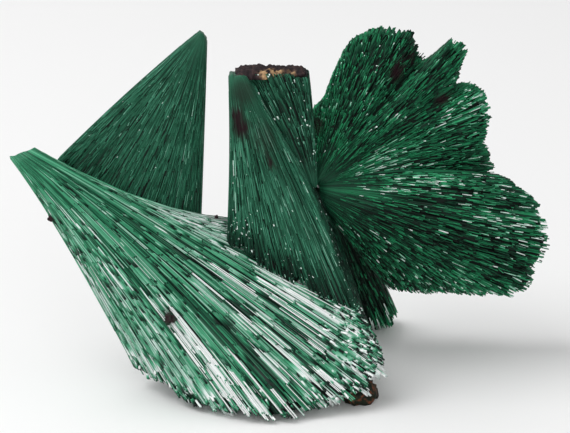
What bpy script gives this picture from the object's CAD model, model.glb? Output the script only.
# Looks of the malachite crystal spray: thousands of fine needles laid along each fan's rays.
# Shapes are in millimetres in the specimen's own frame, and become metres when a mesh is made.

import math
from collections import namedtuple

import bmesh
import bpy
import numpy as np
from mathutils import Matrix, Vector, noise
from mathutils.bvhtree import BVHTree


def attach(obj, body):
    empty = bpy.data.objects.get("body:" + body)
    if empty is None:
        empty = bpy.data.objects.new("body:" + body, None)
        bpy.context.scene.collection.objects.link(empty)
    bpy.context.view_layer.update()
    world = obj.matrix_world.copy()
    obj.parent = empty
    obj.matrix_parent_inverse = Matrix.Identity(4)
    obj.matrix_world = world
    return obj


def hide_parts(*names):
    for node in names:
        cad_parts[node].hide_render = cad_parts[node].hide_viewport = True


MM = 0.001
ORIGIN = np.array((-0.4, 3.8, 0.0))  # the specimen's origin in the coordinates of the rays

# Camera, as the photograph was taken
CAMERA_DISTANCE = 450.0
CAMERA_ELEVATION = 18.0
CAMERA_TARGET = np.array((0.0, 0.0, 21.0))
CAMERA_LENS = 235.9

# Light, in metres and watts: a wide lamp high at the left and a weak one in front
LIT_POINT = (0.0, 0.0, 0.015)
KEY_PLACE = (-0.30, -0.04, 0.50)
KEY_SIZE = (0.55, 0.45)
KEY_POWER = 2.4
FILL_PLACE = (0.10, -0.60, 0.25)
FILL_SIZE = (0.4, 0.3)
FILL_POWER = 0.9
WORLD_STRENGTH = 0.58
FLOOR_GREY = 0.88

# The space that a fan fills
TENSION = 0.36      # slope of the curves across it, as a share of the step between two neighbours
EDGE_ROUND = 0.10   # share of a fan's spread over which each side grows thin
EDGE_SHARE = 0.42   # share of the thickness left at the very sides
REACH_SINK = 0.9    # how deep under the faces the solid is measured
NEAR_SOLID = 0.12   # points up to this far outside the solid still count as in it

# The ridged skin
SKIN_SINK = 0.16    # how deep it lies under the faces
RIM_SHORT = 0.8     # how far it ends inside the rim
SIDE_INSET = 0.004  # how far it ends inside the sides, as a share of the fan's spread
GAP_WIDTH = 0.16    # of the grooves between bundles
GAP_SHADE = 0.28    # how much darker the grooves are, and the valleys, ledges and rim likewise
VALLEY_SHADE = 0.22
LEDGE_SHADE = 0.30
RIM_SHADE = 0.25

# Needles
LAYER_SINK = 0.20   # how deep loose needles start under the faces
ROOT_CROWD = 0.64   # 0.5 spreads needles evenly over a fan, 1 puts as many at the root as at the rim
SPLAY = 0.003       # how far loose needles turn aside, as a share of the fan's spread
BACK_COVER = 0.5    # loose needles on the back, as a share of those on the front
SHORT_NEEDLE = 1.5  # needles up to this length are straight
LONG_NEEDLE = 3.0   # needles over this length have an end of their own colour
THIN_NEEDLE = 0.29  # needles up to this width are three-sided
RIM_FILL = 1.0      # share of the rim's face that needle ends take up
RIM_SINK = 0.15     # how deep rim needles lie under the faces
BLOCK_HALF = 0.45   # half of a block of rim needles, as a share of its place
SIDE_SINK = 0.12    # how deep side needles lie under the faces
SIDE_RINGS = 6      # rings of points along a side needle
LOWEST = 0.01       # nothing reaches under this height

# Rock
COLUMN_TOP = 38.0
FRONT_OF_CAP = 1.0  # needles before this place reach up in front of the cap, to CAP_EDGE
CAP_EDGE = 38.6
CAP_CORNER = (-5.9, 0.4, 38.3)
CAP_SIZE = (8.3, 4.2, 0.75)
CRUST_SINK = 0.4
CHIP_CENTRE = (9.0, -6.4, 1.0)
CHIP_RADII = (2.2, 2.8, 1.7)

# A ray is one needle's path on the front face, back goes through to the rear face
Ray = namedtuple("Ray", "root middle tip back")

FRONT_FAN = (
    Ray((-33.0, -0.8, 28.9), (-26.7, -4.0, 19.1), (-19.0, -3.0, 2.7), (2.6, 4.4, -0.4)),
    Ray((-32.6, -1.1, 29.0), (-23.2, -6.3, 17.3), (-12.8, -9.0, 1.2), (1.6, 5.4, -0.4)),
    Ray((-32.3, -1.3, 29.1), (-20.6, -7.3, 17.7), (-6.8, -13.5, 0.4), (0.8, 6.0, -0.5)),
    Ray((-31.8, -1.4, 29.4), (-17.8, -7.8, 18.4), (-1.4, -15.3, 0.2), (0.0, 6.2, -0.6)),
    Ray((-31.3, -1.4, 29.6), (-14.9, -7.0, 18.7), (5.1, -13.0, 1.3), (-0.6, 5.6, -0.9)),
    Ray((-30.8, -1.3, 29.7), (-12.5, -5.4, 19.1), (10.4, -10.0, 3.5), (-1.2, 4.8, -1.3)),
    Ray((-30.3, -1.2, 29.9), (-11.4, -3.6, 20.1), (11.1, -7.5, 6.9), (-1.2, 3.8, -2.6)),
    Ray((-29.9, -1.0, 30.1), (-12.7, 0.5, 22.0), (1.8, 8.0, 19.8), (-0.6, 2.4, -3.2)),
)

WING_FAN = (
    Ray((-10.3, 5.5, 42.4), (-18.6, 3.5, 35.9), (-27.6, 0.6, 28.0), (0.8, 3.0, -0.9)),
    Ray((-10.1, 5.0, 42.4), (-16.2, 2.8, 33.4), (-23.2, -0.2, 22.5), (0.5, 4.0, -0.6)),
    Ray((-9.8, 5.0, 42.2), (-13.6, 2.8, 31.3), (-18.7, -0.2, 19.1), (0.2, 4.4, -0.2)),
    Ray((-9.7, 5.0, 42.0), (-11.5, 3.3, 29.9), (-14.2, 0.8, 16.5), (0.2, 4.0, -0.2)),
    Ray((-9.4, 5.5, 41.5), (-9.8, 4.3, 30.8), (-10.4, 2.3, 15.3), (0.0, 3.0, -0.2)),
)

COLUMN_DOWN = (
    Ray((-6.7, 0.0, 38.6), (-6.7, -1.2, 27.8), (-7.2, -3.4, 16.4), (0.4, 5.6, 0.4)),
    Ray((-6.3, -0.3, 39.0), (-4.7, -1.9, 26.4), (-2.8, -4.0, 14.0), (0.2, 6.4, 0.4)),
    Ray((-5.8, -0.3, 39.2), (-2.3, -2.2, 26.0), (1.8, -4.6, 10.7), (0.2, 7.2, 0.6)),
    Ray((-5.4, -0.2, 39.2), (0.4, -1.5, 24.8), (7.2, -5.3, 7.4), (0.0, 7.6, 0.8)),
    Ray((-5.0, 0.0, 38.9), (2.5, -0.5, 23.0), (9.8, -5.2, 7.0), (-0.2, 7.0, 0.8)),
    Ray((-4.8, 0.3, 38.7), (1.2, 0.0, 27.5), (7.2, -1.0, 14.8), (-0.4, 6.4, 0.6)),
    Ray((-4.6, 0.5, 38.4), (-0.1, 0.5, 30.5), (4.5, 1.0, 22.1), (-0.4, 5.6, 0.4)),
)

COLUMN_UP = (
    Ray((2.4, 1.5, 24.4), (-1.2, 1.2, 30.9), (-5.5, 1.0, 39.6), (0.0, 3.6, 0.0)),
    Ray((3.4, 1.2, 24.3), (1.3, 1.0, 31.0), (-2.3, 0.8, 39.6), (0.0, 4.4, 0.0)),
    Ray((3.6, 1.2, 24.2), (2.7, 1.0, 31.0), (0.4, 0.8, 39.6), (0.0, 4.4, 0.0)),
    Ray((3.9, 1.8, 24.1), (3.5, 1.5, 30.5), (2.7, 1.5, 39.6), (0.0, 3.8, 0.0)),
)

RIGHT_UPPER = (
    Ray((3.1, 4.5, 23.3), (3.2, 4.8, 27.9), (3.0, 5.5, 32.0), (0.4, 3.6, -0.4)),
    Ray((3.2, 4.2, 23.4), (4.0, 5.6, 28.7), (4.6, 7.0, 33.4), (0.4, 3.8, -0.4)),
    Ray((3.3, 3.9, 23.6), (4.5, 6.6, 30.5), (6.0, 8.8, 36.6), (0.4, 4.0, -0.8)),
    Ray((3.4, 3.5, 23.9), (5.8, 6.5, 32.1), (8.1, 10.0, 40.5), (0.4, 5.0, -1.6)),
    Ray((3.6, 3.2, 24.1), (7.5, 6.0, 32.9), (11.5, 11.0, 41.6), (0.4, 5.4, -1.8)),
    Ray((3.7, 3.0, 24.2), (9.2, 6.0, 32.6), (15.3, 11.0, 40.9), (0.4, 5.0, -1.6)),
    Ray((3.8, 3.0, 24.2), (10.0, 6.5, 31.0), (16.4, 11.0, 36.9), (0.4, 4.4, -0.8)),
    Ray((3.9, 3.0, 24.2), (10.8, 6.0, 31.0), (18.4, 10.0, 38.3), (0.2, 4.4, -0.8)),
    Ray((4.0, 3.0, 24.1), (11.9, 5.5, 31.4), (20.5, 9.5, 40.2), (0.0, 4.4, -0.8)),
    Ray((4.1, 3.0, 24.0), (12.8, 5.5, 31.0), (22.0, 9.5, 38.8), (-0.2, 4.4, -0.8)),
    Ray((4.2, 3.0, 23.9), (12.5, 6.0, 29.7), (20.8, 9.5, 34.6), (-0.2, 4.8, -0.6)),
    Ray((4.3, 3.0, 23.8), (13.6, 5.5, 29.0), (23.7, 8.5, 34.3), (-0.4, 5.4, -0.4)),
    Ray((4.3, 3.0, 23.7), (14.1, 5.0, 27.8), (25.1, 8.0, 31.0), (-0.4, 6.0, -0.2)),
    Ray((4.4, 3.0, 23.4), (14.2, 5.0, 25.8), (24.3, 8.0, 27.4), (-0.4, 6.4, 0.0)),
    Ray((4.4, 3.0, 23.1), (14.8, 5.0, 23.5), (25.8, 8.5, 23.5), (-0.4, 6.0, 0.0)),
)

RIGHT_LOWER = (
    Ray((3.9, 3.5, 24.0), (15.0, 3.5, 25.5), (26.4, 7.0, 24.0), (-0.6, 7.0, -2.2)),
    Ray((4.0, 3.0, 23.9), (17.1, 1.8, 24.3), (30.4, 5.0, 21.7), (-1.2, 9.0, -3.4)),
    Ray((4.2, 2.8, 23.6), (18.1, 1.0, 21.5), (32.4, 4.0, 18.2), (-1.6, 11.0, -2.6)),
    Ray((4.2, 2.8, 23.2), (17.9, 1.0, 18.7), (31.8, 4.5, 13.7), (-1.6, 11.2, -1.2)),
    Ray((4.0, 3.0, 22.8), (16.5, 2.0, 16.1), (28.7, 6.0, 9.0), (-1.2, 9.6, 0.6)),
    Ray((3.9, 3.5, 22.2), (13.6, 3.5, 14.8), (21.0, 8.0, 8.3), (-0.6, 7.6, 0.6)),
    Ray((3.8, 4.5, 21.5), (8.5, 6.0, 14.7), (12.8, 10.0, 7.9), (0.0, 5.6, 0.4)),
)

REAR_SPRAY = (
    Ray((6.8, 9.0, 18.3), (10.6, 13.0, 11.3), (14.3, 18.0, 1.9), (-0.6, 3.4, 0.6)),
    Ray((6.3, 8.5, 17.8), (9.1, 12.0, 10.1), (12.7, 18.4, -0.4), (-0.2, 4.0, 0.8)),
    Ray((5.8, 8.5, 17.5), (7.1, 12.0, 9.6), (8.9, 18.0, -0.8), (0.0, 4.4, 0.8)),
    Ray((5.3, 8.5, 17.5), (4.6, 12.0, 9.6), (4.7, 17.4, -0.6), (0.2, 4.4, 0.8)),
    Ray((4.8, 9.0, 17.6), (2.6, 12.5, 10.5), (0.9, 16.0, 1.2), (0.4, 3.6, 0.6)),
)


def smooth_step(low, high, value):
    """0 up to low and 1 from high on, with a smooth rise between."""
    t = np.clip((value - low) / (high - low), 0.0, 1.0)
    return t * t * (3.0 - 2.0 * t)


def bump_at(centre, spread, value):
    """1 at centre, falling smoothly to 0 over a few spreads."""
    return np.exp(-((value - centre) / spread) ** 2)


def unit(vectors):
    """The vectors, each made 1 long."""
    return vectors / np.maximum(np.linalg.norm(vectors, axis=-1, keepdims=True), 1e-9)


def spline(points, place):
    """Smooth curve through points, for an array of places from 0 to 1."""
    last = len(points) - 1
    place = np.clip(place, 0.0, 1.0)
    span = np.minimum((place * last).astype(int), last - 1)
    t = (place * last - span)[..., None]
    before = points[np.maximum(span - 1, 0)]
    start = points[span]
    end = points[span + 1]
    after = points[np.minimum(span + 2, last)]
    leave = (end - before) * TENSION
    arrive = (after - start) * TENSION
    return (
        start * (2.0 * t ** 3 - 3.0 * t ** 2 + 1.0)
        + end * (3.0 * t ** 2 - 2.0 * t ** 3)
        + leave * (t ** 3 - 2.0 * t ** 2 + t)
        + arrive * (t ** 3 - t ** 2)
    )


class Fan:
    """The space that a fan of needles fills, from its root out to its rim."""

    def __init__(self, rays, root_back, node, bury=(0.0, 0.0)):
        self.bury = bury
        self.roots = np.array([ray.root for ray in rays]) - ORIGIN
        self.middles = np.array([ray.middle for ray in rays]) - ORIGIN
        self.tips = np.array([ray.tip for ray in rays]) - ORIGIN
        self.backs = np.array([ray.back for ray in rays])
        self.root_back = np.array(root_back)
        self.measure_rim()
        self.measure_reach(node)

    def fullness(self, across):
        """Share of the full thickness, less towards the sides."""
        edge = np.clip(np.minimum(across, 1.0 - across) / EDGE_ROUND, 0.0, 1.0)
        return EDGE_SHARE + (1.0 - EDGE_SHARE) * np.sqrt(1.0 - (1.0 - edge) ** 2)

    def through(self, across, along):
        """The way from the front face to the rear one."""
        along = along[..., None]
        return self.root_back * (1.0 - along) + spline(self.backs, across) * along

    def point(self, across, along, depth, sink=0.0):
        """Points at arrays of across, along and depth; sink goes in from the nearer face."""
        root = spline(self.roots, across)
        middle = spline(self.middles, across)
        tip = spline(self.tips, across)
        reach = along[..., None]
        front = (
            root * (1.0 - reach) * (1.0 - 2.0 * reach)
            + middle * 4.0 * reach * (1.0 - reach)
            + tip * reach * (2.0 * reach - 1.0)
        )
        through = self.through(across, along)
        share = 0.5 + (depth - 0.5) * self.fullness(across)
        inwards = np.where(depth < 0.5, 1.0, -1.0) * sink
        return front + through * share[..., None] + unit(through) * inwards[..., None]

    def measure_rim(self):
        """Arc length round the rim, so needles can be spread evenly."""
        self.places = np.linspace(0.0, 1.0, 400)
        steps = np.diff(spline(self.tips, self.places), axis=0)
        lengths = np.concatenate(([0.0], np.cumsum(np.linalg.norm(steps, axis=1))))
        self.rim = lengths[-1]
        self.reached = lengths / lengths[-1]
        middle = spline(self.tips, np.array([0.5])) - spline(self.roots, np.array([0.5]))
        self.length = float(np.linalg.norm(middle))
        self.thickness = float(np.linalg.norm(self.backs, axis=1).mean())

    def across_at(self, share):
        """Place across the fan for a share of the rim's length."""
        return np.interp(share, self.reached, self.places)

    def measure_reach(self, node):
        """Where each path enters and leaves the solid node, on a coarse grid."""
        tree = node_tree(node)
        self.grid_across = np.linspace(0.0, 1.0, 61)
        self.grid_depth = np.linspace(0.0, 1.0, 7)
        alongs = np.linspace(0.0, 1.05, 85)
        shape = (len(self.grid_across), len(self.grid_depth), len(alongs))
        across, depth, along = np.broadcast_arrays(
            self.grid_across[:, None, None], self.grid_depth[None, :, None], alongs[None, None, :]
        )
        inset = 0.02 + 0.96 * across
        room = 0.35 * np.linalg.norm(self.through(inset, along), axis=3) * self.fullness(inset)
        sink = np.minimum(REACH_SINK, room)
        points = self.point(inset, along, 0.03 + 0.94 * depth, sink).reshape(-1, 3)
        within = np.array([is_within(tree, point) for point in points]).reshape(shape)
        start = np.where(within.any(2), alongs[within.argmax(2)], 0.5)
        end = np.where(within.any(2), alongs[-1 - within[:, :, ::-1].argmax(2)], 0.5)
        self.start = without_spikes(start)
        self.end = without_spikes(end)

    def spot(self, across, along):
        """A point on the front face."""
        return self.point(np.array([across]), np.array([along]), np.zeros(1))[0]

    def limits(self, across, depth):
        """First and last place along each path that lies in the solid, or a little in the next."""
        column = np.clip(across, 0.0, 1.0) * (len(self.grid_across) - 1)
        layer = np.clip(depth, 0.0, 1.0) * (len(self.grid_depth) - 1)
        i = np.minimum(column.astype(int), len(self.grid_across) - 2)
        j = np.minimum(layer.astype(int), len(self.grid_depth) - 2)
        u = column - i
        v = layer - j
        found = []
        for table in (self.start, self.end):
            low = table[i, j] * (1.0 - v) + table[i, j + 1] * v
            high = table[i + 1, j] * (1.0 - v) + table[i + 1, j + 1] * v
            found.append(low * (1.0 - u) + high * u)
        start, end = found
        start = np.maximum(start - self.bury[0] / self.length, 0.0)
        end = end + self.bury[1] / self.length * smooth_step(1.0, 0.93, end)
        return start, end


def without_spikes(table):
    """Each value becomes the middle one of itself and its two neighbours across."""
    padded = np.pad(table, ((1, 1), (0, 0)), mode="edge")
    return np.median(np.stack((padded[:-2], table, padded[2:])), axis=0)


def node_tree(node):
    mesh = node.data
    points = [vert.co / MM for vert in mesh.vertices]
    faces = [tuple(face.vertices) for face in mesh.polygons]
    return BVHTree.FromPolygons(points, faces)


def is_within(tree, point):
    place, normal, _, _ = tree.find_nearest(Vector(point))
    return (Vector(point) - place).dot(normal) < NEAR_SOLID


# Needle meshes

Strands = namedtuple("Strands", "points faces tone grain")


def strands(path, side, width, height, sides, roll, chisel, tone):
    """Prisms along paths: path and side are (count, rings, 3), width and height (count, rings).

    chisel slants each end, so that the outer side is shorter, as a share of the height.
    grain runs along the needle, then from needle to needle, then round the needle.
    """
    count, rings, _ = path.shape
    forward = unit(np.gradient(path, axis=1))
    side = unit(side - forward * (side * forward).sum(2, keepdims=True))
    up = np.cross(forward, side)
    turn = 2.0 * math.pi * (np.arange(sides) + 0.5) / sides - math.pi * (sides == 3) / 6.0
    turn = turn + roll[:, None]
    across = np.cos(turn)[:, None, :, None] * side[:, :, None, :]
    rise = np.sin(turn)[:, None, :, None] * up[:, :, None, :]
    points = (
        path[:, :, None, :]
        + across * width[:, :, None, None] * 0.5
        + rise * height[:, :, None, None] * 0.5
    )
    outward = np.sin(turn) * height[:, -1:] * chisel[:, None]
    points[:, -1] -= forward[:, -1, None, :] * outward[..., None]
    grain = np.zeros(points.shape)
    steps = np.linalg.norm(np.diff(path, axis=1), axis=2)
    grain[..., 0] = np.concatenate((np.zeros((count, 1)), np.cumsum(steps, 1)), 1)[:, :, None]
    grain[..., 1] = (np.arange(count) * 3.7)[:, None, None]
    grain[..., 2] = np.arange(sides)[None, None, :] * width[:, :, None]
    tones = np.broadcast_to(tone[:, :, None], points.shape[:3])
    base = (np.arange(count) * rings * sides)[:, None, None]
    ring = (np.arange(rings - 1) * sides)[None, :, None]
    corner = np.arange(sides)
    after = (corner + 1) % sides
    quads = np.stack(
        [base + ring + corner, base + ring + after,
         base + ring + sides + after, base + ring + sides + corner], -1
    ).reshape(-1, 4)
    first = base[:, :, 0] + corner[::-1]
    last = base[:, :, 0] + (rings - 1) * sides + corner
    faces = [quads, first, last]
    return Strands(points.reshape(-1, 3), faces, tones.reshape(-1), grain.reshape(-1, 3))


def join_strands(parts):
    faces = []
    offset = 0
    for part in parts:
        faces.extend(group + offset for group in part.faces)
        offset += len(part.points)
    return Strands(
        np.concatenate([part.points for part in parts]),
        faces,
        np.concatenate([part.tone for part in parts]),
        np.concatenate([part.grain for part in parts]),
    )


def mesh_from(name, data, spots):
    """A mesh object from joined strands, with brown stains around the spots."""
    mesh = bpy.data.meshes.new(name)
    mesh.vertices.add(len(data.points))
    mesh.vertices.foreach_set("co", (data.points * MM).astype(np.float32).ravel())
    corners = np.concatenate([group.ravel() for group in data.faces])
    sizes = np.concatenate([np.full(len(group), group.shape[1]) for group in data.faces])
    starts = np.concatenate(([0], np.cumsum(sizes)[:-1]))
    mesh.loops.add(len(corners))
    mesh.loops.foreach_set("vertex_index", corners.astype(np.int32))
    mesh.polygons.add(len(sizes))
    mesh.polygons.foreach_set("loop_start", starts.astype(np.int32))
    mesh.update(calc_edges=True)
    for label, kind, field, values in (
        ("tone", "FLOAT", "value", data.tone),
        ("grain", "FLOAT_VECTOR", "vector", data.grain),
        ("stain", "FLOAT", "value", stain_of(data.points, spots)),
    ):
        attribute = mesh.attributes.new(label, kind, "POINT")
        attribute.data.foreach_set(field, values.astype(np.float32).ravel())
    made = bpy.data.objects.new(name, mesh)
    bpy.context.scene.collection.objects.link(made)
    return made


# Bundles and layers of one fan

# The look of one fan. ridge and relief are the width and height of the skin's ridges, and rows its
# points from root to rim. Bundles stand out by up to step. Rim needles are end wide and lie in blocks
# block wide, shorter by bevel at the faces, with end_light added at their ends. contrast is how much
# lightness differs from needle to needle, and tip is added at the very ends of loose needles. under
# and tone are functions over the fan: how the skin darkens, and how light the needles are.
Look = namedtuple(
    "Look", "ridge relief step block end end_light bevel rows contrast tip under tone layers seed"
)

# One layer of loose needles. where is a function over the fan: the share of needles kept. cover is
# their area over the fan's. A needle is flat times as high as it is wide, and its end stands out by
# up to rise. light is added, and differs by spread. slab needles lie side by side and end together.
Layer = namedtuple("Layer", "where cover width length rise light spread slab flat", defaults=(1, 0.8))


def everywhere(across, along):
    return np.ones(len(across))


class Bundles:
    """Uneven groups of needles across a fan, each with its own level and lightness."""

    def __init__(self, rim, rng):
        edges = [0.0]
        while edges[-1] < 1.0:
            edges.append(edges[-1] + rng.uniform(0.5, 2.4) / rim)
        self.edges = np.array(edges)
        count = len(edges) - 1
        self.lift = rng.uniform(-1.0, 1.0, count)
        self.light = rng.normal(0.0, 1.0, count)
        self.short = rng.uniform(0.0, 1.0, count) ** 2

    def gap(self, share, rim):
        """Distance to the nearest border between bundles, in millimetres at the rim."""
        owner = self.index(share)
        return np.minimum(share - self.edges[owner], self.edges[owner + 1] - share) * rim

    def index(self, share):
        found = np.searchsorted(self.edges, share, side="right") - 1
        return np.clip(found, 0, len(self.lift) - 1)


def ridged_skin(fan, look, bundles, rng):
    """The closed body of a fan: fibres grown together as ridges that step down where they end."""
    columns = 2 * int(fan.rim / look.ridge) + 1
    share = np.linspace(0.0, 1.0, columns)
    across = np.clip(fan.across_at(share), SIDE_INSET, 1.0 - SIDE_INSET)
    return closed_sheet([skin_face(fan, look, bundles, share, across, face, rng) for face in (0.0, 1.0)])


def skin_face(fan, look, bundles, share, across, face, rng):
    """Grids of points, tones and grain over the front (0) or the back (1) of the skin."""
    steps = np.linspace(0.0, 1.0, look.rows)
    low, high = fan.limits(across, np.full(len(across), face))
    high = high - RIM_SHORT / fan.length
    along = low[:, None] + (high - low)[:, None] * steps
    lanes = np.broadcast_to(across[:, None], along.shape)
    owner = bundles.index(share)
    growth = smooth_step(-0.05, 0.45, along)
    border = bump_at(0.0, GAP_WIDTH, bundles.gap(share, fan.rim))[:, None] * growth
    level, fallen = ridge_levels(look, along, rng)
    lift = (look.step * bundles.lift[owner])[:, None]
    sinks = SKIN_SINK + (level - 0.5 * lift) * growth + look.step * border
    room = 0.4 * np.linalg.norm(fan.through(across[:, None], along), axis=2)
    sinks = np.minimum(sinks, room * fan.fullness(across)[:, None])
    tone = look.tone(lanes, along, bundles.light[owner][:, None], face) - look.under(lanes, along)
    tone[1::2] += rng.normal(0.0, look.contrast, len(fallen))[:, None] - 0.06 * fallen
    tone -= GAP_SHADE * border + RIM_SHADE * smooth_step(0.9, 1.0, steps)
    tone[1:, 1:] -= LEDGE_SHADE * np.abs(np.diff(fallen.astype(float), axis=1)).repeat(2, axis=0)
    tone[::2] -= VALLEY_SHADE * growth[::2]
    grain = np.stack(
        [along * fan.length, share[:, None] * fan.rim + 0.0 * along, face * 9.0 + 0.0 * along], -1
    )
    return fan.point(lanes, along, np.full(along.shape, face), sinks), tone, grain


def ridge_levels(look, along, rng):
    """How deep ridges and valleys lie, and which points lie beyond the ledge of their ridge."""
    ridges = len(along) // 2
    ledge = rng.uniform(0.3, 1.5, ridges)
    drop = look.step * rng.uniform(0.2, 0.8, ridges)
    fallen = along[1::2] > ledge[:, None]
    level = np.zeros(along.shape)
    level[1::2] = drop[:, None] * fallen + rng.uniform(0.0, 0.4, ridges)[:, None] * look.relief
    level[2:-1:2] = np.maximum(level[1:-2:2], level[3::2]) + look.relief
    return level, fallen


def closed_sheet(halves):
    """Joins a front and a back grid round all four sides."""
    points, tone, grain = (
        np.concatenate((front, back[:, ::-1]), axis=1) for front, back in zip(*halves)
    )
    columns, size = tone.shape
    base = (np.arange(columns - 1) * size)[:, None]
    corner = np.arange(size)
    after = (corner + 1) % size
    quads = np.stack(
        [base + corner, base + size + corner, base + size + after, base + after], -1
    ).reshape(-1, 4)
    row = np.arange(size // 2 - 1)
    first = np.stack([row, row + 1, size - 2 - row, size - 1 - row], -1)
    last = first[:, ::-1] + (columns - 1) * size
    points = points.reshape(-1, 3)
    points[:, 2] = np.maximum(points[:, 2], 2.0 * LOWEST)
    tone = np.clip(tone.reshape(-1), 0.0, 1.0)
    return Strands(points, [quads, first, last], tone, grain.reshape(-1, 3))


def lay_slabs(fan, layer, bundles, rng):
    """Spreads slabs of needles over a fan, but for needles over a groove.

    Gives arrays with each needle's place round the rim, and its slab's place along, half length,
    added lightness and rise.
    """
    area = layer.width * layer.length * layer.slab
    slabs = int(layer.cover * 0.5 * fan.rim * fan.length / area)
    share = rng.uniform(0.0, 1.0, slabs)
    centre = rng.uniform(0.01, 1.0, slabs) ** ROOT_CROWD
    keep = rng.uniform(0.0, 1.0, slabs) < layer.where(fan.across_at(share), centre)
    share, centre = share[keep], centre[keep]
    half = 0.5 * layer.length / fan.length * rng.uniform(0.5, 1.5, len(share))
    light = rng.normal(0.0, 0.8 * layer.spread, len(share))
    rise = layer.rise * rng.uniform(0.3, 1.0, len(share))
    member = np.repeat(np.arange(len(share)), layer.slab)
    beside = np.tile(np.arange(layer.slab) - 0.5 * (layer.slab - 1), len(share))
    share = share[member] + 1.1 * beside * layer.width / (fan.rim * np.maximum(centre[member], 0.3))
    inside = (share > 0.0) & (share < 1.0)
    inside = inside & (bundles.gap(share, fan.rim) * centre[member] > 0.4 * layer.width)
    member = member[inside]
    return share[inside], centre[member], half[member], light[member], rise[member]


def loose_layer(fan, look, layer, bundles, face, rng):
    """Separate needles that rise out of the skin, in slabs that end at their own places."""
    share, centre, half, light, rise = lay_slabs(fan, layer, bundles, rng)
    count = len(share)
    across = fan.across_at(share)
    low, high = fan.limits(across, np.full(count, float(face)))
    owner = bundles.index(share)
    limit = high - 0.02 * bundles.short[owner]
    middle = low + (high - low) * centre
    start = np.clip(middle - half, low, limit)
    stop = np.clip(middle + half - rng.uniform(0.0, 0.3, count) / fan.length, low, limit)
    steps = needle_steps(layer)
    along = start[:, None] + (stop - start)[:, None] * steps
    growth = smooth_step(-0.1, 0.5, along)
    lift = 0.5 * look.step * bundles.lift[owner][:, None] * growth
    sinks = LAYER_SINK - lift - rise[:, None] * growth * smooth_step(-0.1, 0.5, steps)
    lanes = across[:, None] + rng.normal(0.0, SPLAY, count)[:, None] * steps / layer.slab
    width = layer.width * rng.uniform(0.7, 1.2, count)[:, None] * (0.3 + 0.7 * growth)
    tone = look.tone(lanes, along, bundles.light[owner][:, None], face)
    tone = tone + layer.light + light[:, None]
    tone = tone + rng.normal(0.0, 0.9 * layer.spread, count)[:, None] + look.tip * (steps == 1.0)
    depth = np.full((count, 1), float(face))
    sides = 3 if layer.width <= THIN_NEEDLE else 4
    return make_needles(fan, lanes, along, depth, sinks, width, layer.flat, sides, rng, tone)


def needle_steps(layer):
    """Places along a needle where it has a ring of points."""
    if layer.length <= SHORT_NEEDLE:
        return np.array((0.0, 1.0))
    if layer.length <= LONG_NEEDLE:
        return np.array((0.0, 0.4, 1.0))
    return np.array((0.0, 0.4, 1.0 - 0.2 / layer.length, 1.0))


def rim_blocks(fan, look, rng):
    """Needles spread over the rim's face, but for those over the joints between its blocks.

    Gives each needle's place across, its depth and its block, and the number of blocks.
    """
    count = int(RIM_FILL * fan.rim * fan.thickness / look.end ** 2)
    share = rng.uniform(0.0, 1.0, count)
    depth = rng.uniform(0.0, 1.0, count)
    height = depth * fan.thickness / look.block
    storey = height.astype(int)
    width = share * fan.rim / look.block + 0.4 * storey
    block = width.astype(int) * 31 + storey
    inside = (np.abs(height % 1.0 - 0.5) < BLOCK_HALF) & (np.abs(width % 1.0 - 0.5) < BLOCK_HALF)
    return fan.across_at(share[inside]), depth[inside], block[inside], block.max() + 1


def rim_ends(fan, look, rng):
    """Needles through the thickness at the rim, in blocks that end at different places."""
    across, depth, block, blocks = rim_blocks(fan, look, rng)
    high = fan.limits(across, depth)[1]
    count = len(across)
    shift = (rng.uniform(0.0, 1.0, blocks)[block]) ** 2 * 1.8 * look.block / fan.length
    outer = np.minimum(depth, 1.0 - depth) * fan.thickness
    shift = shift + look.bevel * (1.0 - smooth_step(0.0, 2.0, outer)) / fan.length
    stop = high - shift - rng.uniform(0.0, 0.12, count) / fan.length
    start = stop - rng.uniform(1.8, 3.2, count) / fan.length
    along = np.stack((start, stop), 1)
    lanes = across[:, None] + np.zeros(2)
    sinks = np.full((count, 2), RIM_SINK)
    width = look.end * rng.uniform(0.8, 1.25, count)[:, None] * np.ones(2)
    tone = look.tone(lanes, along, rng.normal(0.0, 1.0, blocks)[block][:, None], 0)
    tone = tone + (rng.normal(0.0, look.contrast, blocks)[block])[:, None]
    tone = tone + rng.normal(0.0, look.contrast, count)[:, None]
    tone = tone + np.array((-0.25, look.end_light))
    return make_needles(
        fan, lanes, along, depth[:, None], sinks, width, 0.9, 4, rng, tone, chisel=1.6
    )


def side_needles(fan, look, rng):
    """Needles over the two narrow side faces of a fan."""
    parts = []
    steps = np.linspace(0.0, 1.0, SIDE_RINGS)
    for edge, inward in ((SIDE_INSET, 1.0), (1.0 - SIDE_INSET, -1.0)):
        count = int(fan.thickness / look.end * 2.4)
        across = edge + inward * rng.uniform(0.0, 0.008, count)
        depth = (np.arange(count) + rng.uniform(0.2, 0.8, count)) / count
        low, high = fan.limits(across, depth)
        start = low + (high - low) * rng.uniform(0.0, 0.5, count)
        stop = low + (high - low) * rng.uniform(0.7, 1.0, count)
        along = start[:, None] + (stop - start)[:, None] * steps
        lanes = across[:, None] + np.zeros(SIDE_RINGS)
        sinks = np.full(along.shape, SIDE_SINK)
        width = look.end * rng.uniform(0.7, 1.1, count)[:, None] * np.ones(SIDE_RINGS)
        tone = look.tone(lanes, along, rng.normal(0.0, 1.0, count)[:, None], 0)
        parts.append(make_needles(fan, lanes, along, depth[:, None], sinks, width, 0.8, 4, rng, tone))
    return join_strands(parts)


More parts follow.
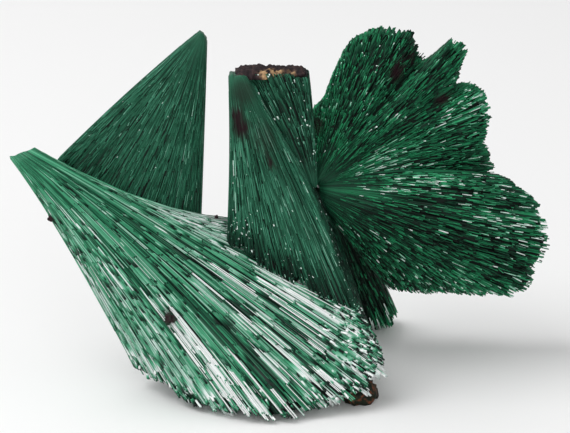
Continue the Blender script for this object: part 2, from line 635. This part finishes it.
def make_needles(fan, across, along, depth, sinks, width, flat, sides, rng, tone, chisel=0.3):
    """Needles along a fan's paths, each a little rolled about its length and cut at a slant."""
    depth = np.broadcast_to(depth, along.shape)
    path = fan.point(across, along, depth, sinks)
    beside = fan.point(across + 0.01, along, depth, sinks)
    before = fan.point(across - 0.01, along, depth, sinks)
    roll = rng.normal(0.0, 0.22, len(path))
    slant = chisel * rng.uniform(0.2, 1.0, len(path))
    tone = np.clip(tone, 0.0, 1.0)
    data = strands(path, beside - before, width, width * flat, sides, roll, slant, tone)
    data.points[:, 2] = np.maximum(data.points[:, 2], LOWEST)
    return data


# How light each fan's needles are, 0 to 1: across, along, the bundle's own lightness, face

def front_tone(across, along, bundle, face):
    outer = smooth_step(0.45, 0.95, along)
    left = 0.12 * (1.0 - smooth_step(0.22, 0.36, across)) * smooth_step(0.2, 0.6, along)
    streak = 0.24 * bump_at(0.365, 0.04, across) * smooth_step(0.45, 0.8, along)
    silver = 0.08 * smooth_step(0.50, 0.72, across) * outer
    smear = -0.03 * bump_at(0.62, 0.13, across) * bump_at(0.36, 0.16, along)
    band = -0.10 * bump_at(0.50, 0.06, across) * smooth_step(0.5, 0.8, along)
    far_edge = 0.17 * smooth_step(0.80, 0.95, across) * smooth_step(0.2, 0.5, along)
    root = -0.14 * bump_at(0.5, 0.35, across) * (1.0 - smooth_step(0.05, 0.4, along))
    return 0.58 + root + 0.05 * bundle + left + streak + silver + smear + band + far_edge - 0.12 * face


def wing_tone(across, along, bundle, face):
    low_left = -0.06 * bump_at(0.10, 0.2, across) * smooth_step(0.5, 0.95, along)
    return 0.54 + 0.03 * bundle + low_left - 0.05 * smooth_step(0.75, 1.0, across)


def column_down_tone(across, along, bundle, face):
    green = 0.06 * bump_at(0.15, 0.12, across) * bump_at(0.55, 0.2, along)
    rib = 0.05 * bump_at(0.62, 0.1, across) * smooth_step(0.3, 0.6, along)
    foot = -0.26 * smooth_step(0.74, 0.88, along)
    return 0.54 + 0.03 * bundle + green + rib + foot


def column_up_tone(across, along, bundle, face):
    return 0.45 + 0.03 * bundle + 0.0 * along


def right_upper_tone(across, along, bundle, face):
    emerald = 0.32 * bump_at(0.91, 0.11, across) * bump_at(0.40, 0.28, along)
    lobe = 0.21 * bump_at(0.80, 0.08, across) * smooth_step(0.6, 0.9, along)
    recess = -0.16 * bump_at(0.39, 0.03, across) * smooth_step(0.72, 0.85, along)
    notch = -0.16 * bump_at(0.73, 0.02, across) * smooth_step(0.78, 0.88, along)
    return 0.44 + 0.03 * bundle + emerald + lobe + recess + notch


def right_lower_tone(across, along, bundle, face):
    streak = 0.27 * bump_at(0.36 - 0.44 * along, 0.09, across) * bump_at(0.45, 0.35, along)
    emerald = 0.25 * bump_at(0.32, 0.07, across) * smooth_step(0.4, 0.8, along)
    low = 0.14 * bump_at(0.74, 0.12, across) * smooth_step(0.5, 0.9, along)
    dark = -0.06 * bump_at(0.60, 0.2, across) * (1.0 - smooth_step(0.4, 0.9, along))
    return 0.43 + 0.03 * bundle + streak + emerald + low + dark


def rear_tone(across, along, bundle, face):
    return 0.34 + 0.03 * bundle + 0.22 * smooth_step(0.8, 1.0, along)


# Over a fan: the share of needles that a layer keeps, and by how much a shade darkens the skin

def silver_slope(across, along):
    far = smooth_step(0.84, 0.93, across) * (1.0 - smooth_step(0.70, 0.85, along))
    wide = smooth_step(0.44, 0.66, across) * smooth_step(0.42, 0.75, along) * (1.0 - 0.9 * far)
    streak = 1.3 * bump_at(0.365, 0.045, across) * smooth_step(0.5, 0.75, along)
    return np.clip(wide + streak, 0.02, 1.0)


def silver_shade(across, along):
    return 0.30 * silver_slope(across, along)


def white_streak(across, along):
    upper = bump_at(0.365, 0.035, across) * smooth_step(0.62, 0.75, along)
    lower = bump_at(0.46, 0.06, across) * smooth_step(0.85, 0.95, along)
    return np.clip(upper + 0.7 * lower, 0.0, 1.0)


def sparkling_ends(across, along):
    right = smooth_step(0.55, 0.75, across) * smooth_step(0.84, 0.96, along)
    return np.clip(right + 0.25 * smooth_step(0.92, 1.0, along), 0.0, 1.0)


def fur_shade(across, along):
    return 0.14 * smooth_step(0.1, 0.45, along)


def rim_shade(across, along):
    return 0.10 * smooth_step(0.6, 1.0, along)


def far_specks(across, along):
    return smooth_step(0.86, 0.95, across) * smooth_step(0.35, 0.6, along)


def column_sparks(across, along):
    return 0.25 + 0.75 * smooth_step(0.3, 0.5, along)


def foot_sparks(across, along):
    return smooth_step(0.76, 0.90, along)


def upper_sparks(across, along):
    lobe = bump_at(0.82, 0.09, across) * smooth_step(0.75, 0.95, along)
    top = bump_at(0.3, 0.12, across) * smooth_step(0.55, 0.85, along)
    return np.clip(0.22 + lobe + 0.5 * top, 0.0, 1.0)


def lower_sparks(across, along):
    streak = bump_at(0.36 - 0.44 * along, 0.06, across) * bump_at(0.45, 0.22, along)
    rim = 0.6 * smooth_step(0.75, 0.95, along)
    return np.clip(0.06 + streak + rim, 0.0, 1.0)


def tip_sparks(across, along):
    return smooth_step(0.75, 0.95, along)


# Materials

PATCHINESS = 0.16  # how much soft patches differ in tone
PATCH_SCALE = 300.0
FIBRE_STRETCH = (0.30, 5.0, 5.0)  # streaks are long along a needle and fine across it
ROCK_GRAIN = 1600.0
STAIN_BROWN = (0.028, 0.014, 0.017)
FRONT_STOPS = (
    (0.0, (0.0006, 0.004, 0.003)), (0.20, (0.003, 0.028, 0.016)), (0.40, (0.009, 0.115, 0.055)),
    (0.55, (0.040, 0.290, 0.145)), (0.66, (0.110, 0.430, 0.255)), (0.76, (0.290, 0.560, 0.430)),
    (0.86, (0.740, 0.860, 0.820)), (1.0, (0.970, 1.000, 0.990)),
)
DARK_STOPS = (
    (0.0, (0.0006, 0.003, 0.002)), (0.20, (0.003, 0.015, 0.009)), (0.40, (0.009, 0.058, 0.032)),
    (0.60, (0.028, 0.150, 0.085)), (0.75, (0.070, 0.290, 0.180)), (0.90, (0.320, 0.600, 0.470)),
    (1.0, (0.850, 0.970, 0.920)),
)
EMERALD_STOPS = (
    (0.0, (0.0006, 0.003, 0.002)), (0.20, (0.003, 0.014, 0.008)), (0.40, (0.009, 0.058, 0.031)),
    (0.60, (0.018, 0.175, 0.078)), (0.76, (0.024, 0.320, 0.130)), (0.86, (0.110, 0.480, 0.270)),
    (0.93, (0.450, 0.760, 0.620)), (1.0, (0.900, 1.000, 0.960)),
)
ROCK_TAN = (0.46, 0.29, 0.15)
CAP_STOPS = ((0.30, (0.006, 0.004, 0.005)), (0.55, (0.026, 0.015, 0.017)), (0.70, (0.07, 0.04, 0.035)))
CHIP_STOPS = ((0.30, (0.003, 0.006, 0.003)), (0.52, (0.012, 0.018, 0.008)), (0.66, (0.16, 0.045, 0.02)))


class Shading:
    """A node material, with short ways to add nodes and join them."""

    def __init__(self, name):
        self.material = bpy.data.materials.new(name)
        self.material.use_nodes = True
        self.nodes = self.material.node_tree.nodes
        self.inputs = self.nodes["Principled BSDF"].inputs

    def feed(self, socket, value):
        """Joins a socket to another node's output, or sets it to a plain value."""
        if isinstance(value, bpy.types.NodeSocket):
            self.material.node_tree.links.new(value, socket)
        else:
            socket.default_value = value

    def node(self, kind, output, **inputs):
        """The output of a new node, with what feeds each of its inputs."""
        made = self.nodes.new("ShaderNode" + kind)
        for name, value in inputs.items():
            self.feed(made.inputs[name], value)
        return made.outputs[output]

    def attribute(self, name, output="Fac"):
        made = self.nodes.new("ShaderNodeAttribute")
        made.attribute_name = name
        return made.outputs[output]

    def ramp(self, level, stops):
        """The colour that the stops give for a level."""
        made = self.nodes.new("ShaderNodeValToRGB")
        elements = made.color_ramp.elements
        while len(elements) < len(stops):
            elements.new(0.5)
        for element, (place, color) in zip(elements, stops):
            element.position = place
            element.color = (*color, 1.0)
        self.feed(made.inputs["Fac"], level)
        return made.outputs["Color"]

    def math(self, operation, first, second):
        made = self.nodes.new("ShaderNodeMath")
        made.operation = operation
        self.feed(made.inputs[0], first)
        self.feed(made.inputs[1], second)
        return made.outputs[0]

    def swing(self, texture, amount):
        """A texture's 0 to 1 as a value that swings about 0."""
        return self.math("MULTIPLY", self.math("SUBTRACT", texture, 0.5), amount)

    def grains(self, scale, detail):
        """Noise in the object's own space."""
        place = self.node("TexCoord", "Object")
        return self.node("TexNoise", "Fac", Scale=scale, Detail=detail, Vector=place)

    def fibres(self):
        """Fine streaks along each needle."""
        grain = self.attribute("grain", "Vector")
        stretched = self.node("Mapping", "Vector", Scale=FIBRE_STRETCH, Vector=grain)
        return self.node("TexNoise", "Fac", Scale=1.0, Detail=4.0, Vector=stretched)

    def stained(self, color, factor, stain):
        """The colour, turned into the stain's colour where factor says so."""
        mix = self.nodes.new("ShaderNodeMix")
        mix.data_type = "RGBA"
        self.feed(mix.inputs["Factor"], factor)
        self.feed(mix.inputs["A"], color)
        self.feed(mix.inputs["B"], (*stain, 1.0))
        return mix.outputs["Result"]

    def bumps(self, height, strength, distance):
        return self.node("Bump", "Normal", Strength=strength, Distance=distance, Height=height)


def crystal(name, stops, roughness, gloss, streaks):
    """Silky fibrous malachite: each needle's tone, soft patches, fine streaks and brown stains."""
    made = Shading(name)
    fibres = made.fibres()
    stain = made.attribute("stain")
    patch = made.swing(made.grains(PATCH_SCALE, 3.0), PATCHINESS)
    level = made.math("ADD", made.attribute("tone"), patch)
    level = made.math("ADD", level, made.swing(fibres, streaks))
    rough = made.math("ADD", made.math("MULTIPLY", fibres, 0.30), roughness - 0.15)
    made.feed(made.inputs["Base Color"], made.stained(made.ramp(level, stops), stain, STAIN_BROWN))
    made.feed(made.inputs["Roughness"], made.math("ADD", rough, stain))
    made.feed(made.inputs["Normal"], made.bumps(fibres, 0.5, 0.00008))
    made.inputs["Specular IOR Level"].default_value = gloss
    return made.material


def rock(name, stops):
    """Rough granular rock with speckled tan patches."""
    made = Shading(name)
    grains = made.grains(ROCK_GRAIN, 6.0)
    speckled = made.math("MULTIPLY", made.math("SUBTRACT", grains, 0.42), 7.0)
    speckled = made.math("MULTIPLY", speckled, made.attribute("stain"))
    made.feed(made.inputs["Base Color"], made.stained(made.ramp(grains, stops), speckled, ROCK_TAN))
    made.feed(made.inputs["Normal"], made.bumps(grains, 0.8, 0.0002))
    made.inputs["Roughness"].default_value = 0.8
    made.inputs["Specular IOR Level"].default_value = 0.25
    return made.material


# Rock and grains

def rough_ball(centre, radii, bulge, seed):
    """A lumpy grain of rock as a closed mesh."""
    bm = bmesh.new()
    bmesh.ops.create_icosphere(bm, subdivisions=3, radius=1.0)
    points = []
    for vert in bm.verts:
        lump = noise.fractal(vert.co * 1.6 + Vector((seed, 0.0, 0.0)), 0.9, 2.1, 4)
        points.append(np.array(vert.co) * (1.0 + bulge * lump) * np.array(radii) + np.array(centre))
    faces = np.array([[vert.index for vert in face.verts] for face in bm.faces])
    bm.free()
    points = np.array(points)
    points[:, 2] = np.maximum(points[:, 2], LOWEST)
    return Strands(points, [faces], np.full(len(points), 0.3), points.copy())


def rock_crust(corner, size, seed):
    """A thin crust of rock lumps, thickest inside its wavy outline."""
    columns, rows = 90, 44
    across, along = np.meshgrid(
        np.linspace(0.0, 1.0, columns), np.linspace(0.0, 1.0, rows), indexing="ij"
    )
    edge = np.minimum.reduce((across * size[0], (1.0 - across) * size[0],
                              along * size[1], (1.0 - along) * size[1]))
    taper = smooth_step(0.0, 0.7, edge)
    height = np.zeros(across.shape)
    for index in np.ndindex(across.shape):
        spot = Vector((across[index] * size[0] * 1.1, along[index] * size[1] * 1.1, seed))
        height[index] = noise.fractal(spot, 0.8, 2.2, 4)
    mound = 0.45 + 0.35 * bump_at(0.28, 0.22, across)
    top = size[2] * taper * np.clip(mound + 0.5 * height, 0.05, 1.3)
    wander = 0.25 * height * (1.0 - taper)
    x = corner[0] + across * size[0] + wander
    set_back = 0.3 + 1.1 * smooth_step(0.35, 0.7, across)
    y = corner[1] + set_back + along * (size[1] - set_back) - wander
    base = corner[2] - CRUST_SINK
    halves = []
    for rise in (top + CRUST_SINK, 0.0 * top):
        points = np.stack([x, y, base + rise], -1)
        halves.append((points, np.full(top.shape, 0.3), points.copy()))
    return closed_sheet(halves)


def stain_of(points, spots):
    """How stained each point is, from spots that have a centre, a radius and a strength."""
    stain = np.zeros(len(points))
    for centre, radius, strength in spots:
        distance = np.linalg.norm(points - centre, axis=1)
        stain = np.maximum(stain, strength * (1.0 - smooth_step(0.35 * radius, radius, distance)))
    return stain


# Pieces

# Brown grains on the front fan: place across and along it, radii, lumpiness, radius of the stain
FRONT_GRAINS = (
    ((0.35, 0.70), (0.62, 0.5, 0.62), 0.9, 1.3),
    ((0.02, 0.38), (0.35, 0.3, 0.35), 0.5, 0.9),
    ((0.99, 0.64), (0.25, 0.3, 0.2), 0.5, 0.8),
)


def ride(piece, node, material):
    """Puts a finished piece in place of a solid."""
    piece.data.materials.append(material)
    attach(piece, "root")
    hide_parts(node)


def add_needles(node, material, parts, spots):
    """One spray's needles as a mesh, in place of its solid."""
    ride(mesh_from(node + "_needles", join_strands(parts), spots), node, material)


def fan_parts(fan, look):
    """Everything that one fan is made of."""
    rng = np.random.default_rng(look.seed)
    bundles = Bundles(fan.rim, rng)
    parts = [ridged_skin(fan, look, bundles, rng)]
    for face, share in ((0, 1.0), (1, BACK_COVER)):
        for layer in look.layers:
            thinned = layer._replace(cover=layer.cover * share)
            parts.append(loose_layer(fan, look, thinned, bundles, face, rng))
    parts.append(side_needles(fan, look, rng))
    parts.append(rim_ends(fan, look, rng))
    return parts


def build_front_fan(nodes, material):
    fan = Fan(FRONT_FAN, (0.0, 1.8, -0.9), nodes["front_fan"])
    layers = (
        Layer(everywhere, cover=1.3, width=0.165, length=8.0, rise=0.14, light=0.02, spread=0.10,
              slab=3, flat=0.7),
        Layer(silver_slope, cover=1.1, width=0.15, length=5.0, rise=0.28, light=0.08, spread=0.26,
              slab=5, flat=0.7),
        Layer(white_streak, cover=1.6, width=0.24, length=6.0, rise=0.38, light=0.40, spread=0.20,
              slab=2, flat=0.3),
        Layer(far_specks, cover=0.3, width=0.20, length=2.4, rise=0.22, light=0.08, spread=0.14, flat=0.6),
        Layer(everywhere, cover=0.4, width=0.18, length=2.4, rise=0.16, light=0.02, spread=0.08, slab=2),
        Layer(sparkling_ends, cover=1.3, width=0.30, length=0.7, rise=0.48, light=0.28, spread=0.42,
              flat=0.9),
    )
    look = Look(
        ridge=0.29, relief=0.12, step=0.32, block=0.95, end=0.36, end_light=0.34, bevel=1.6, rows=24,
        contrast=0.10, tip=-0.60, under=silver_shade, tone=front_tone, layers=layers, seed=11,
    )
    parts = fan_parts(fan, look)
    spots = []
    for number, (place, radii, bulge, reach) in enumerate(FRONT_GRAINS, 1):
        centre = fan.spot(*place)
        parts.append(rough_ball(centre, radii, bulge, float(number)))
        spots.append((centre, reach, 1.0))
    add_needles("front_fan", material, parts, spots)


def build_wing_fan(nodes, material):
    fan = Fan(WING_FAN, (0.0, 1.6, 0.0), nodes["wing_fan"], (0.0, 0.8))
    layers = (
        Layer(everywhere, cover=2.4, width=0.12, length=1.8, rise=0.12, light=0.02, spread=0.07),
        Layer(everywhere, cover=0.02, width=0.12, length=0.4, rise=0.16, light=0.18, spread=0.10),
    )
    look = Look(
        ridge=0.16, relief=0.07, step=0.10, block=0.6, end=0.24, end_light=0.05, bevel=0.3, rows=24,
        contrast=0.05, tip=0.05, under=rim_shade, tone=wing_tone, layers=layers, seed=21,
    )
    add_needles("wing_fan", material, fan_parts(fan, look), [])


def build_centre_column(nodes, material):
    down = Fan(COLUMN_DOWN, (0.0, 4.6, 0.2), nodes["centre_column"], (0.8, 0.8))
    up = Fan(COLUMN_UP, (0.0, 3.4, 0.0), nodes["centre_column"], (0.0, 0.8))
    down_layers = (
        Layer(everywhere, cover=1.9, width=0.14, length=3.0, rise=0.12, light=0.02, spread=0.09),
        Layer(everywhere, cover=0.012, width=0.15, length=0.4, rise=0.18, light=0.25, spread=0.15),
        Layer(foot_sparks, cover=0.09, width=0.16, length=0.3, rise=0.16, light=0.50, spread=0.20),
    )
    up_layers = (
        Layer(everywhere, cover=1.7, width=0.14, length=1.5, rise=0.14, light=0.02, spread=0.11),
        Layer(column_sparks, cover=0.09, width=0.20, length=0.35, rise=0.26, light=0.48, spread=0.20),
    )
    down_look = Look(
        ridge=0.22, relief=0.08, step=0.16, block=0.7, end=0.3, end_light=0.05, bevel=0.3, rows=26,
        contrast=0.08, tip=0.06, under=rim_shade, tone=column_down_tone, layers=down_layers, seed=31,
    )
    up_look = down_look._replace(bevel=0.0, rows=18, tone=column_up_tone, layers=up_layers, seed=32)
    spots = [
        (down.spot(0.20, 0.26), 1.7, 1.0),
        (down.spot(0.14, 0.20), 1.3, 1.0),
        (down.spot(0.43, 0.40), 0.9, 0.9),
        (down.spot(0.40, 0.10), 2.2, 0.55),
        (down.spot(0.46, 0.30), 2.6, 0.45),
    ]
    data = join_strands(fan_parts(down, down_look) + fan_parts(up, up_look))
    in_front = data.points[:, 1] < FRONT_OF_CAP - ORIGIN[1]
    data.points[:, 2] = np.minimum(data.points[:, 2], np.where(in_front, CAP_EDGE, COLUMN_TOP))
    add_needles("centre_column", material, [data], spots)


def build_right_fan(nodes, material):
    upper = Fan(RIGHT_UPPER, (0.0, 4.2, 0.0), nodes["right_fan"], (0.8, 0.0))
    lower = Fan(RIGHT_LOWER, (0.0, 4.4, 0.0), nodes["right_fan"], (0.8, 0.0))
    upper_layers = (
        Layer(everywhere, cover=1.7, width=0.15, length=1.1, rise=0.26, light=0.02, spread=0.13, flat=0.9),
        Layer(upper_sparks, cover=0.05, width=0.18, length=0.4, rise=0.30, light=0.42, spread=0.20),
    )
    lower_layers = (
        Layer(everywhere, cover=1.5, width=0.16, length=1.3, rise=0.28, light=0.02, spread=0.15, flat=0.9),
        Layer(lower_sparks, cover=0.22, width=0.20, length=0.9, rise=0.34, light=0.42, spread=0.22),
    )
    upper_look = Look(
        ridge=0.34, relief=0.10, step=0.22, block=0.8, end=0.40, end_light=0.12, bevel=0.8, rows=20,
        contrast=0.09, tip=0.08, under=fur_shade, tone=right_upper_tone, layers=upper_layers, seed=41,
    )
    lower_look = Look(
        ridge=0.34, relief=0.12, step=0.26, block=0.9, end=0.44, end_light=0.16, bevel=1.0, rows=24,
        contrast=0.11, tip=0.08, under=fur_shade, tone=right_lower_tone, layers=lower_layers, seed=42,
    )
    spots = [
        (upper.spot(0.39, 0.82), 1.6, 1.0),
        (upper.spot(0.73, 0.88), 1.3, 1.0),
        (upper.spot(0.40, 0.98), 1.2, 0.9),
        (upper.spot(0.05, 0.75), 1.4, 0.6),
    ]
    parts = fan_parts(upper, upper_look) + fan_parts(lower, lower_look)
    add_needles("right_fan", material, parts, spots)


def build_rear_spray(nodes, material):
    fan = Fan(REAR_SPRAY, (0.0, 3.4, 0.4), nodes["rear_spray"], (0.8, 0.0))
    layers = (
        Layer(everywhere, cover=1.4, width=0.18, length=1.4, rise=0.20, light=0.04, spread=0.14),
        Layer(tip_sparks, cover=0.32, width=0.26, length=1.4, rise=0.32, light=0.56, spread=0.24, flat=0.7),
    )
    look = Look(
        ridge=0.28, relief=0.10, step=0.20, block=0.8, end=0.34, end_light=0.20, bevel=0.6, rows=20,
        contrast=0.11, tip=0.08, under=rim_shade, tone=rear_tone, layers=layers, seed=51,
    )
    add_needles("rear_spray", material, fan_parts(fan, look), [])


def build_rocks():
    corner = np.array(CAP_CORNER) - ORIGIN
    patch = [
        (corner + np.array((3.6, 0.9, 0.2)), 1.2, 1.0),
        (corner + np.array((4.8, 1.2, 0.4)), 1.3, 0.9),
        (corner + np.array((6.8, 1.4, 0.4)), 0.9, 0.6),
    ]
    crust = mesh_from("cap_rock", rock_crust(corner, CAP_SIZE, 2.0), patch)
    ride(crust, "matrix_cap", rock("cap_rock", CAP_STOPS))
    centre = np.array(CHIP_CENTRE) - ORIGIN
    patch = [(centre + np.array((-1.2, -2.4, 0.6)), 1.3, 0.7)]
    chip = mesh_from("chip_rock", rough_ball(centre, CHIP_RADII, 0.35, 9.0), patch)
    ride(chip, "matrix_chip", rock("chip_rock", CHIP_STOPS))


def build_specimen(nodes):
    front = crystal("front_needles", FRONT_STOPS, roughness=0.38, gloss=0.28, streaks=0.26)
    dark = crystal("dark_needles", DARK_STOPS, roughness=0.46, gloss=0.16, streaks=0.20)
    emerald = crystal("emerald_needles", EMERALD_STOPS, roughness=0.50, gloss=0.14, streaks=0.20)
    build_front_fan(nodes, front)
    build_wing_fan(nodes, dark)
    build_centre_column(nodes, dark)
    build_right_fan(nodes, emerald)
    build_rear_spray(nodes, emerald)
    build_rocks()


# Stage

def build_floor():
    bpy.ops.mesh.primitive_plane_add(size=6.0, location=(0.0, 0.0, 0.0))
    floor = bpy.context.object
    floor.name = "floor"
    made = Shading("floor")
    made.inputs["Base Color"].default_value = (FLOOR_GREY, FLOOR_GREY, FLOOR_GREY, 1.0)
    made.inputs["Roughness"].default_value = 0.6
    floor.data.materials.append(made.material)


def area_light(name, place, size, power):
    """A rectangular lamp that faces the specimen."""
    data = bpy.data.lights.new(name, "AREA")
    data.shape = "RECTANGLE"
    data.size = size[0]
    data.size_y = size[1]
    data.energy = power
    made = bpy.data.objects.new(name, data)
    made.location = place
    aim = Vector(LIT_POINT) - Vector(place)
    made.rotation_euler = aim.to_track_quat("-Z", "Y").to_euler()
    bpy.context.scene.collection.objects.link(made)


def build_lights():
    bpy.context.scene.view_settings.view_transform = "Standard"
    world = bpy.context.scene.world or bpy.data.worlds.new("world")
    bpy.context.scene.world = world
    world.use_nodes = True
    background = world.node_tree.nodes["Background"]
    background.inputs["Color"].default_value = (1.0, 1.0, 1.0, 1.0)
    background.inputs["Strength"].default_value = WORLD_STRENGTH
    area_light("key", KEY_PLACE, KEY_SIZE, KEY_POWER)
    area_light("front_fill", FILL_PLACE, FILL_SIZE, FILL_POWER)


def build_camera():
    target = (CAMERA_TARGET - ORIGIN) * MM
    tilt = math.radians(CAMERA_ELEVATION)
    back = np.array((0.0, -math.cos(tilt), math.sin(tilt))) * CAMERA_DISTANCE * MM
    data = bpy.data.cameras.new("camera")
    data.lens = CAMERA_LENS
    data.sensor_width = 36.0
    data.clip_start = 0.01
    made = bpy.data.objects.new("camera", data)
    made.location = target + back
    made.rotation_euler = (math.radians(90.0 - CAMERA_ELEVATION), 0.0, 0.0)
    bpy.context.scene.collection.objects.link(made)
    bpy.context.scene.camera = made


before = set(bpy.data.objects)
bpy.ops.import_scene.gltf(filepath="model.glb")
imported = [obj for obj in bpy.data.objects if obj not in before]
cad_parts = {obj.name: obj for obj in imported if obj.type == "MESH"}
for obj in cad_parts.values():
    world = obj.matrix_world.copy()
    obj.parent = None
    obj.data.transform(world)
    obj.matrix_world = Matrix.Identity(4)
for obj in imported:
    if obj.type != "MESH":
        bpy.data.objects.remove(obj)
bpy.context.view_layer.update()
build_camera()
build_specimen(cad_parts)
build_floor()
build_lights()
